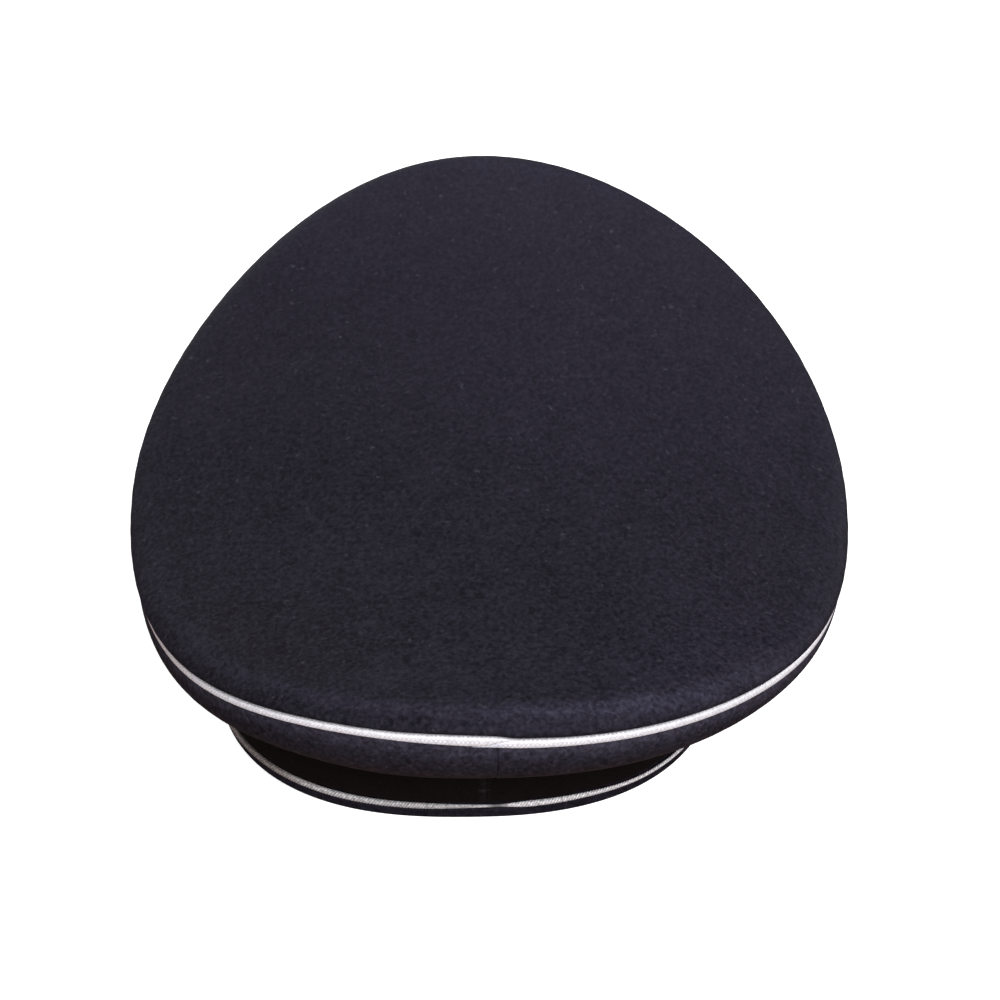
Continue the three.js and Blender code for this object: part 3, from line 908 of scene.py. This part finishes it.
def group(name, inputs, outputs):
    """A new node group with named sockets, and its two end nodes."""
    tree = bpy.data.node_groups.new(name, "ShaderNodeTree")
    for socket, kind in inputs:
        tree.interface.new_socket(socket, in_out="INPUT", socket_type=kind)
    for socket in outputs:
        tree.interface.new_socket(socket, in_out="OUTPUT", socket_type="NodeSocketFloat")
    return tree, tree.nodes.new("NodeGroupInput").outputs, tree.nodes.new("NodeGroupOutput").inputs


def nap_group():
    """Nap of a brushed cloth: matted fibres, fine grain, sparse pale specks and their height."""
    known = bpy.data.node_groups.get("Brushed nap")
    if known:
        return known
    tree, given, result = group("Brushed nap", [("Vector", "NodeSocketVector"),
                                                ("Fibre Size", "NodeSocketFloat")],
                                ["Shade", "Fleck", "Height"])

    def noise(fineness, detail, distortion):
        scale = sum_of(tree, "DIVIDE", fineness, given["Fibre Size"])
        inputs = {"Vector": given["Vector"], "Scale": scale, "Detail": detail}
        return put(tree, "ShaderNodeTexNoise", {**inputs, "Distortion": distortion}).outputs[0]

    def spread(value, low, high):
        inputs = {"Value": value, "From Min": low, "From Max": high}
        return put(tree, "ShaderNodeMapRange", inputs).outputs[0]

    clumps = sum_of(tree, "POWER", spread(noise(1.0, 1.2, 0.3), 0.25, 0.80), 1.5)
    away = sum_of(tree, "ABSOLUTE", sum_of(tree, "MULTIPLY_ADD", noise(0.62, 1.0, 0.6), 2.0, -1.0))
    fibres = sum_of(tree, "POWER", spread(away, 0.45, 0.0), 2.5)
    mottle = spread(noise(0.12, 2.0, 0.0), 0.3, 0.7)
    slow = spread(noise(0.03, 2.0, 0.0), 0.3, 0.7)
    height = sum_of(tree, "MULTIPLY_ADD", clumps, 0.70, sum_of(tree, "MULTIPLY", fibres, 0.30))
    uneven = sum_of(tree, "MULTIPLY_ADD", mottle, 0.09, sum_of(tree, "MULTIPLY", slow, 0.08))
    tree.links.new(sum_of(tree, "MULTIPLY_ADD", height, 0.80, uneven), result["Shade"])
    tree.links.new(spread(noise(0.9, 0.0, 0.5), 0.74, 0.92), result["Fleck"])
    tree.links.new(height, result["Height"])
    return tree


def threads_group():
    """Threads of a cord: slanting ridges, plain or crossed by others, and uneven wear on them."""
    known = bpy.data.node_groups.get("Cord threads")
    if known:
        return known
    tree, given, result = group("Cord threads", [("Run", "NodeSocketVector"),
                                                 ("Pitch", "NodeSocketFloat"),
                                                 ("Threads", "NodeSocketFloat"),
                                                 ("Crossing", "NodeSocketFloat")],
                                ["Shade", "Height"])
    parts = put(tree, "ShaderNodeSeparateXYZ", {0: given["Run"]}).outputs
    along = sum_of(tree, "DIVIDE", parts[0], given["Pitch"])

    def ridge(operation):
        place = sum_of(tree, "MULTIPLY", sum_of(tree, operation, along, parts[1]), given["Threads"])
        wave = sum_of(tree, "SINE", sum_of(tree, "MULTIPLY", place, float(np.pi)))
        return sum_of(tree, "POWER", sum_of(tree, "ABSOLUTE", wave), 0.6)

    laid = ridge("ADD")
    crossed = sum_of(tree, "MULTIPLY", laid, ridge("SUBTRACT"))
    height = put(tree, "ShaderNodeMix", {0: given["Crossing"], 2: laid, 3: crossed}).outputs[0]
    stretched = put(tree, "ShaderNodeMapping", {"Vector": given["Run"], "Scale": (900.0, 7.0, 1.0)})
    uneven = put(tree, "ShaderNodeTexNoise", {"Vector": stretched.outputs[0], "Scale": 1.0,
                                              "Detail": 2.0})
    wear_and_painted_light = put(tree, "ShaderNodeMapRange", {"Value": uneven.outputs[0], "From Min": 0.30,
                                            "From Max": 0.62})
    tree.links.new(sum_of(tree, "MULTIPLY", height, wear_and_painted_light.outputs[0]), result["Shade"])
    tree.links.new(height, result["Height"])
    return tree


def new_material(name, **constants):
    """A material with a Principled shader whose plain sockets are set, and its node tree."""
    material = bpy.data.materials.new(name)
    material.use_nodes = True
    tree = material.node_tree
    shader = tree.nodes["Principled BSDF"]
    for key, value in constants.items():
        shader.inputs[key.replace("_", " ")].default_value = value
    return material, tree, shader


def shade_with(tree, shader, base, height, strength, distance):
    """Gives a shader a colour and a fine relief."""
    tree.links.new(base, shader.inputs["Base Color"])
    inputs = {"Height": height, "Strength": strength, "Distance": distance}
    bump = put(tree, "ShaderNodeBump", inputs).outputs[0]
    tree.links.new(bump, shader.inputs["Normal"])


def opaque(value):
    """A colour property as a full colour."""
    return (*value, 1.0)


def colour_with_wear_and_painted_light(tree, base):
    """A colour changed by the piece's stored painted light, and on the velvet by its fray."""
    wear_and_painted_light = put(tree, "ShaderNodeAttribute", {}, attribute_name="wear_and_painted_light").outputs["Vector"]
    return put(tree, "ShaderNodeVectorMath", {0: base, 1: wear_and_painted_light, 2: base},
               operation="MULTIPLY_ADD").outputs[0]


def brushed_material(name, deep, light, fleck, fibre, relief, even=0.40, **constants):
    """A brushed cloth: a grained colour between two, with paler fibres and a low relief.

    The grain stands out from an even shade, less at the front of the cap than at its back.
    """
    known = bpy.data.materials.get(name)
    if known:
        return known
    material, tree, shader = new_material(name, **constants)
    place = put(tree, "ShaderNodeTexCoord", {}).outputs["Object"]
    nap = put(tree, "ShaderNodeGroup", {}, node_tree=nap_group())
    tree.links.new(place, nap.inputs["Vector"])
    nap.inputs["Fibre Size"].default_value = fibre
    along = put(tree, "ShaderNodeSeparateXYZ", {0: place}).outputs[1]
    stand = put(tree, "ShaderNodeMapRange", {"Value": along, "From Min": -0.10, "From Max": 0.10,
                                             "To Min": 0.46, "To Max": 1.18}).outputs[0]
    above = sum_of(tree, "ADD", nap.outputs["Shade"], -even)
    grain = sum_of(tree, "MULTIPLY_ADD", above, stand, even)
    # The mesh's stored painted light, and the velvet's fray, change the grained colour
    cloth = colour_with_wear_and_painted_light(tree, blend(tree, grain, opaque(deep), opaque(light)))
    pale = sum_of(tree, "MULTIPLY", nap.outputs["Fleck"], 0.55)
    base = blend(tree, pale, cloth, opaque(fleck))
    shade_with(tree, shader, base, nap.outputs["Height"], 0.30, relief)
    return material


def wool(name="Milled wool", depth=1.0):
    """Dark wool, brushed and milled; a depth below 1 darkens a copy of it as painted shade."""
    finish = bpy.context.scene.cap_finish
    deep, light, fleck = (np.array(each) * depth for each in (finish.wool_deep, finish.wool_light,
                                                              finish.wool_fleck))
    return brushed_material(name, deep, light, fleck, finish.wool_fibre, 0.0003, Roughness=0.54,
                            Specular_IOR_Level=0.04, Specular_Tint=(0.64, 0.64, 1.0, 1.0))


def velvet():
    """Black velvet with a short pile."""
    finish = bpy.context.scene.cap_finish
    return brushed_material("Black velvet", finish.velvet_deep, finish.velvet_light,
                            finish.velvet_light, finish.velvet_pile, 0.0003, Roughness=1.0,
                            Specular_IOR_Level=0.05, Sheen_Weight=0.02, Sheen_Roughness=0.3)


def silver(name, deep, pitch, threads, crossing, relief):
    """Silver cord: threads laid round it by the piece's own run, bright on top and grey between."""
    finish = bpy.context.scene.cap_finish
    material, tree, shader = new_material(name, Metallic=0.1, Roughness=0.5)
    run = put(tree, "ShaderNodeUVMap", {}, uv_map="run").outputs[0]
    laid = put(tree, "ShaderNodeGroup", {}, node_tree=threads_group())
    tree.links.new(run, laid.inputs["Run"])
    laid.inputs["Pitch"].default_value = pitch
    laid.inputs["Threads"].default_value = threads
    laid.inputs["Crossing"].default_value = crossing
    base = blend(tree, laid.outputs["Shade"], opaque(deep), opaque(finish.silver_light))
    # Painted shade stored on the cord darkens its threads
    shade_with(tree, shader, colour_with_wear_and_painted_light(tree, base), laid.outputs["Height"], 0.6, relief)
    return material


def patent():
    """Black patent: a hard gloss over a faint grain, with slow changes in its polish."""
    finish = bpy.context.scene.cap_finish
    material, tree, shader = new_material("Black patent", Coat_Weight=0.5, Coat_Roughness=0.06)
    place = put(tree, "ShaderNodeTexCoord", {}).outputs["Object"]
    grain = put(tree, "ShaderNodeTexNoise", {"Vector": place, "Scale": 900.0, "Detail": 2.0})
    slow = put(tree, "ShaderNodeTexNoise", {"Vector": place, "Scale": 45.0, "Detail": 3.0})
    inputs = {"Value": slow.outputs[0], "To Min": 0.13, "To Max": 0.26}
    polish = put(tree, "ShaderNodeMapRange", inputs).outputs[0]
    tree.links.new(polish, shader.inputs["Roughness"])
    faint = tuple(1.6 * part for part in finish.patent)
    base = blend(tree, slow.outputs[0], opaque(finish.patent), opaque(faint))
    shade_with(tree, shader, base, grain.outputs[0], 0.15, 0.0002)
    return material


# Pieces

class CAP_OT_top_panel(Operator):
    """Adds the crown's top panel, rolled over its cord"""

    bl_idname = "cap.top_panel"
    bl_label = "Top panel"

    def execute(self, context):
        crown, cords = context.scene.cap_crown, context.scene.cap_cords
        turn, place = even_turns(crown, 0, WHOLE_TURN, count=541)
        outer = top_surface(crown, cords, turn[:-1], place[:-1])
        past_tuck, every = len(TUCK_TURNS) + 1, 3
        inner = (outer - crown.wall * facing(outer, True))[:, past_tuck::every]
        middle = np.array([crown.centre_x, crown.centre_y])
        top = in_space(middle, top_height(crown, middle) + crown.waver * slow_waves(middle))
        poles = np.stack([top, top - np.array([0, 0, crown.wall])])
        loops = np.concatenate([outer, inner[:, ::-1]], 1)
        mesh = skin("top_panel", loops, True, poles=poles, pole_at=outer.shape[1])
        # Painted light on the top, stored for its material
        mark_wear_and_painted_light(mesh, top_painted_light(crown, outer), loops)
        piece = finished(mesh, "crown_top", wool())
        return {"FINISHED"}


class CAP_OT_side_panels(Operator):
    """Adds the two halves of the crown's side, seamed at the back and the front"""

    bl_idname = "cap.side_panels"
    bl_label = "Side panels"

    def execute(self, context):
        scene = context.scene
        crown, cords, band = scene.cap_crown, scene.cap_cords, scene.cap_band
        back = turn_at_side(crown, crown.seam)
        half_gap = crown.seam_open / 2 / crown.half_width
        for name, node, start, stop in (
                ("side_panel_left", "crown_side_left", back, np.pi),
                ("side_panel_right", "crown_side_right", np.pi, back + WHOLE_TURN)):
            turn, place = seam_turns(crown, start + half_gap, stop - half_gap, count=300,
                                     fine=crown.seam_round)
            outer = side_surface(crown, cords, band, turn, place)
            normal = facing(outer, False)
            inner = outer - crown.wall * normal
            deep = turned_in(place, crown.seam_round, crown.seam_depth)[:, None, None]
            loops = np.concatenate([outer - deep * normal, inner[:, ::-1]], 1)
            mesh = skin(name, loops, False)
            # Painted light on the side, stored for its material
            mark_wear_and_painted_light(mesh, side_painted_light(crown, outer, place), loops)
            piece = finished(mesh, node, wool())
        return {"FINISHED"}


def add_cord(name, node, loops, place, wear_and_painted_light, material):
    """Adds a cord, whose threads are laid round it by its run, with its painted shade along it."""
    mesh = skin(name, loops, False, place, np.linspace(0, 1, loops.shape[1] + 1))
    mark_wear_and_painted_light(mesh, np.repeat(wear_and_painted_light[:, None], loops.shape[1], 1), loops)
    finished(mesh, node, material)


class CAP_OT_rim_cord(Operator):
    """Adds the silver cord in the seam round the crown"""

    bl_idname = "cap.rim_cord"
    bl_label = "Rim cord"

    def execute(self, context):
        cords = context.scene.cap_cords
        loops, place = rim_cord_loops(context.scene.cap_crown, cords)
        # Painted shade on the rim cord, stored for its material
        wear_and_painted_light = rim_cord_painted_shade(cords, loops, place)
        woven = silver("Woven silver", context.scene.cap_finish.silver_deep, pitch=0.0100,
                       threads=7.0, crossing=0.75, relief=0.0002)
        add_cord("rim_cord", "crown_piping", loops, place, wear_and_painted_light, woven)
        return {"FINISHED"}


class CAP_OT_foot_cord(Operator):
    """Adds the thinner silver cord between the velvet and the foot"""

    bl_idname = "cap.foot_cord"
    bl_label = "Foot cord"

    def execute(self, context):
        cords = context.scene.cap_cords
        loops, place = foot_cord_loops(context.scene.cap_band, cords)
        # Painted shade on the foot cord, stored for its material
        wear_and_painted_light = foot_cord_painted_shade(cords, loops, place)
        twisted = silver("Twisted silver", context.scene.cap_finish.twist_deep,
                         pitch=cords.ply_pitch, threads=3.0, crossing=0.0, relief=0.0002)
        add_cord("foot_cord", "band_piping", loops, place, wear_and_painted_light, twisted)
        return {"FINISHED"}


class CAP_OT_velvet_band(Operator):
    """Adds the velvet strip round the band"""

    bl_idname = "cap.velvet_band"
    bl_label = "Velvet band"

    def execute(self, context):
        band, cords = context.scene.cap_band, context.scene.cap_cords
        loops, place = velvet_loops(band, cords)
        mesh = skin("velvet_band", loops, False)
        mark_wear_and_painted_light(mesh, seam_fray(loops, place), loops)
        piece = finished(mesh, "band", velvet())
        return {"FINISHED"}


class CAP_OT_band_wall(Operator):
    """Adds the band's wall and its wool foot"""

    bl_idname = "cap.band_wall"
    bl_label = "Band wall"

    def execute(self, context):
        band = context.scene.cap_band
        slope = table_slope(band, context.scene.cap_peak)
        loops = wall_loops(band, context.scene.cap_cords, slope)
        # The foot gets a darker copy of the wool, as painted shade
        foot = wool("Foot wool with painted shade", context.scene.cap_finish.foot_painted_shade)
        finished(skin("band_wall", loops, True), "band_base", foot)
        return {"FINISHED"}


class CAP_OT_peak(Operator):
    """Adds the patent peak"""

    bl_idname = "cap.peak"
    bl_label = "Peak"

    def execute(self, context):
        side = np.sin(np.linspace(-np.pi / 2, np.pi / 2, 181))
        loops = peak_loops(context.scene.cap_band, context.scene.cap_peak, side)
        finished(skin("peak_plate", loops, False), "peak", patent())
        return {"FINISHED"}


# Stage

def camera_axes(stage):
    """The view's right, up and back directions round the upright cap, rolled as the view is."""
    rise, turn, roll = stage.view_rise, stage.view_turn, stage.view_roll
    back = Vector((np.sin(turn) * np.cos(rise), np.cos(turn) * np.cos(rise), np.sin(rise)))
    level = Vector((-np.cos(turn), np.sin(turn), 0))
    upright = back.cross(level)
    right = level * np.cos(roll) - upright * np.sin(roll)
    up = level * np.sin(roll) + upright * np.cos(roll)
    return right, up, back


def soft_light(name, watts, width, place, target):
    """A square soft light at a place, facing a target."""
    data = bpy.data.lights.new(name, "AREA")
    data.energy = watts
    data.size = width
    light = bpy.data.objects.new(name, data)
    light.location = place
    light.rotation_euler = (Vector(target) - Vector(place)).to_track_quat("-Z", "Y").to_euler()
    bpy.context.scene.collection.objects.link(light)


def add_floor(scene, stage):
    """A wide pale floor that glows for the camera alone, and throws a darker light on the cap."""
    half = stage.floor_size / 2
    mesh = bpy.data.meshes.new("floor")
    mesh.from_pydata([(-half, -half, 0), (half, -half, 0), (half, half, 0), (-half, half, 0)],
                     [], [(0, 1, 2, 3)])
    floor = bpy.data.objects.new("floor", mesh)
    scene.collection.objects.link(floor)
    pale, tree, shader = new_material("Pale floor", Roughness=0.9, Specular_IOR_Level=0.1,
                                      Emission_Strength=stage.floor_glow)
    seen = put(tree, "ShaderNodeLightPath", {}).outputs["Is Camera Ray"]
    base = blend(tree, seen, opaque(stage.floor_bounce), opaque(stage.floor))
    glow = blend(tree, seen, (0, 0, 0, 1), (1, 1, 1, 1))
    tree.links.new(base, shader.inputs["Base Color"])
    tree.links.new(glow, shader.inputs["Emission Color"])
    mesh.materials.append(pale)


def add_sky(scene, stage):
    """Soft light from all round."""
    scene.world = bpy.data.worlds.new("Soft sky")
    scene.world.use_nodes = True
    sky = scene.world.node_tree.nodes["Background"]
    sky.inputs[0].default_value = opaque(stage.sky)
    sky.inputs[1].default_value = stage.sky_strength


def add_camera(scene, stage):
    """The camera, placed round the upright cap and then laid down with it, aimed by three axes."""
    right, up, back = camera_axes(stage)
    centre = Vector((0, 0, stage.view_height))
    eye = centre + back * stage.view_distance
    aim = centre + right * stage.aim_right + up * stage.aim_up
    eye, aim, beside = (Vector(at_rest(np.array(p))) for p in (eye, aim, eye + right))
    toward = (eye - aim).normalized()
    right = beside - eye
    right = (right - toward * right.dot(toward)).normalized()
    lens = bpy.data.cameras.new("camera")
    lens.lens = stage.lens
    camera = bpy.data.objects.new("camera", lens)
    scene.collection.objects.link(camera)
    turn = Matrix((right, toward.cross(right), toward)).transposed()
    camera.matrix_world = Matrix.Translation(eye) @ turn.to_4x4()
    scene.camera = camera


class CAP_OT_stage(Operator):
    """Adds the floor, the lights and the camera"""

    bl_idname = "cap.stage"
    bl_label = "Stage"

    def execute(self, context):
        scene, stage = context.scene, context.scene.cap_stage
        add_floor(scene, stage)
        add_sky(scene, stage)
        add_camera(scene, stage)
        scene.view_settings.view_transform = "Standard"
        middle = (0, 0, 0.08)
        soft_light("key", stage.key_power, 1.5, (-1.03, 2.56, 2.24), middle)
        soft_light("side fill", stage.side_power, 1.8, (2.0, 2.0, 0.95), middle)
        soft_light("edge light", stage.edge_power, 1.0, (-2.0, -0.8, 0.8), middle)
        soft_light("fill", stage.fill_power, 2.0, (0.9, -2.0, 0.75), middle)
        return {"FINISHED"}


class CAP_PT_pieces(Panel):
    """Lists the cap's pieces"""

    bl_idname = "CAP_PT_pieces"
    bl_label = "Peaked cap"
    bl_space_type = "VIEW_3D"
    bl_region_type = "UI"
    bl_category = "Cap"

    def draw(self, context):
        for piece in PIECES:
            self.layout.operator(piece.bl_idname)


GROUPS = {
    "cap_crown": CapCrown,
    "cap_band": CapBand,
    "cap_cords": CapCords,
    "cap_peak": CapPeak,
    "cap_finish": CapFinish,
    "cap_stage": CapStage,
}
PIECES = (
    CAP_OT_top_panel,
    CAP_OT_side_panels,
    CAP_OT_rim_cord,
    CAP_OT_foot_cord,
    CAP_OT_velvet_band,
    CAP_OT_band_wall,
    CAP_OT_peak,
    CAP_OT_stage,
)


def register():
    for each in (*GROUPS.values(), *PIECES, CAP_PT_pieces):
        bpy.utils.register_class(each)
    for name, each in GROUPS.items():
        setattr(bpy.types.Scene, name, PointerProperty(type=each))


def unregister():
    for name in GROUPS:
        delattr(bpy.types.Scene, name)
    for each in (CAP_PT_pieces, *PIECES, *GROUPS.values()):
        bpy.utils.unregister_class(each)


def main():
    register()
    bpy.ops.cap.top_panel()
    bpy.ops.cap.side_panels()
    bpy.ops.cap.rim_cord()
    bpy.ops.cap.foot_cord()
    bpy.ops.cap.velvet_band()
    bpy.ops.cap.band_wall()
    bpy.ops.cap.peak()
    bpy.ops.cap.stage()


if __name__ == "__main__":
    main()
